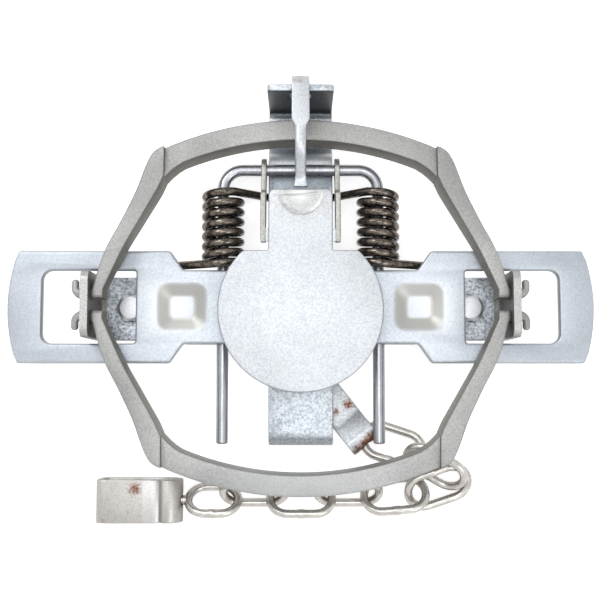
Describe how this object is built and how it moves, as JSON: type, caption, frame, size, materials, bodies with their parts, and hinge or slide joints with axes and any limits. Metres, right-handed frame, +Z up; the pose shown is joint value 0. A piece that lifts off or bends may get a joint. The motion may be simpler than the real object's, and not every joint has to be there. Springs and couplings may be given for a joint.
{
  "type": "offset jaw trap",
  "caption": "Foothold trap lying set: two offset cast jaws held open by a dog and a round pan, a coil spring and lever at each end, and a short chain with a swivel.",
  "frame": {"origin": "on the ground, at the middle of the lower head of the centre rivet", "axes": "+X to the right along the two levers, +Y to the dog, +Z up"},
  "size_m": [0.2388, 0.1792, 0.0366],
  "materials": {
    "zinc_steel": "dull zinc coating with faint speckle",
    "frame_steel": "dull strip steel with spots of rust",
    "cast_jaw": "as cast, tumbled",
    "spring_steel": "dark tempered spring wire",
    "bright_wire": "bright drawn wire"
  },
  "bodies": {
    "frame": {"base_plate": "frame_steel", "cross_member": "frame_steel", "centre_rivet": "frame_steel", "swivel_rivet": "frame_steel", "jaw_post_left": "frame_steel", "jaw_post_right": "frame_steel", "post_bolt_left": "zinc_steel", "post_bolt_right": "zinc_steel", "post_nut_left": "zinc_steel", "post_nut_right": "zinc_steel", "spring_rod": "bright_wire", "coil_spring_left": "spring_steel", "coil_spring_right": "spring_steel"},
    "lever_left": {"lever_left": "zinc_steel"},
    "lever_right": {"lever_right": "zinc_steel"},
    "jaw_upper": {"jaw_upper": "cast_jaw"},
    "jaw_lower": {"jaw_lower": "cast_jaw"},
    "dog": {"dog": "zinc_steel"},
    "pan": {"pan": "zinc_steel"},
    "tab": {"swivel_tab": "frame_steel"},
    "link_1": {"chain_link_1": "bright_wire"},
    "link_2": {"chain_link_2": "bright_wire"},
    "link_3": {"chain_link_3": "bright_wire"},
    "link_4": {"chain_link_4": "bright_wire"},
    "link_5": {"chain_link_5": "bright_wire"},
    "link_6": {"chain_link_6": "bright_wire"},
    "link_7": {"chain_link_7": "bright_wire"},
    "eye": {"swivel_eye": "bright_wire"},
    "strap": {"swivel_strap": "zinc_steel"}
  },
  "joints": [
    {"name": "jaw_lower_close", "type": "hinge", "parent": "frame", "child": "jaw_lower", "pos_m": [0, -0.0046, 0.0275], "axis": [-1, 0, 0], "range_deg": [0, 93]},
    {"name": "jaw_upper_close", "type": "hinge", "parent": "frame", "child": "jaw_upper", "pos_m": [0, 0.0046, 0.0275], "axis": [1, 0, 0], "range_deg": [0, 93]},
    {"name": "lever_left_rise", "type": "hinge", "parent": "frame", "child": "lever_left", "pos_m": [-0.032, 0, 0.0136], "axis": [0, 1, 0], "range_deg": [0, 26]},
    {"name": "lever_right_rise", "type": "hinge", "parent": "frame", "child": "lever_right", "pos_m": [0.032, 0, 0.0136], "axis": [0, -1, 0], "range_deg": [0, 26]},
    {"name": "dog_flip", "type": "hinge", "parent": "frame", "child": "dog", "pos_m": [0, 0.0865, 0.03135], "axis": [-1, 0, 0], "range_deg": [0, 214]},
    {"name": "pan_tip", "type": "hinge", "parent": "frame", "child": "pan", "pos_m": [0, 0.0574, 0.0136], "axis": [1, 0, 0], "range_deg": [-2, 3.5]},
    {"name": "tab_swivel", "type": "hinge", "parent": "frame", "child": "tab", "pos_m": [0, -0.0215, 0], "axis": [0, 0, 1], "range_deg": [0, 8]},
    {"name": "link_1_swing", "type": "hinge", "parent": "tab", "child": "link_1", "pos_m": [0.0268, -0.0555, 0.0052], "axis": [0, 0, 1], "range_deg": [0, 6]},
    {"name": "link_2_swing", "type": "hinge", "parent": "link_1", "child": "link_2", "pos_m": [0.04754, -0.05953, 0.005], "axis": [0, 0, 1], "range_deg": [-1, 6]},
    {"name": "link_3_swing", "type": "hinge", "parent": "link_2", "child": "link_3", "pos_m": [0.06777, -0.07047, 0.006], "axis": [0, 0, 1], "range_deg": [-1, 6]},
    {"name": "link_4_swing", "type": "hinge", "parent": "link_3", "child": "link_4", "pos_m": [0.0482, -0.0766, 0.005], "axis": [0, 0, 1], "range_deg": [-1, 6]},
    {"name": "link_5_swing", "type": "hinge", "parent": "link_4", "child": "link_5", "pos_m": [0.02922, -0.07656, 0.005], "axis": [0, 0, 1], "range_deg": [-1, 6]},
    {"name": "link_6_swing", "type": "hinge", "parent": "link_5", "child": "link_6", "pos_m": [0.00985, -0.07685, 0.006], "axis": [0, 0, 1], "range_deg": [-1, 6]},
    {"name": "link_7_swing", "type": "hinge", "parent": "link_6", "child": "link_7", "pos_m": [-0.00945, -0.07685, 0.005], "axis": [0, 0, 1], "range_deg": [-1, 6]},
    {"name": "eye_swing", "type": "hinge", "parent": "link_7", "child": "eye", "pos_m": [-0.02875, -0.07705, 0.0067], "axis": [0, 0, 1], "range_deg": [-1, 6]},
    {"name": "strap_turn", "type": "hinge", "parent": "eye", "child": "strap", "pos_m": [-0.0479, -0.0787, 0.0067], "axis": [1, 0, 0], "range_deg": [-180, 180]}
  ],
  "couplings": [
    {"joint": "jaw_upper_close", "follows": "jaw_lower_close", "ratio": 1},
    {"joint": "lever_left_rise", "follows": "jaw_lower_close", "ratio": 0.27957},
    {"joint": "lever_right_rise", "follows": "jaw_lower_close", "ratio": 0.27957},
    {"joint": "dog_flip", "follows": "jaw_lower_close", "ratio": 2.3011}
  ]
}
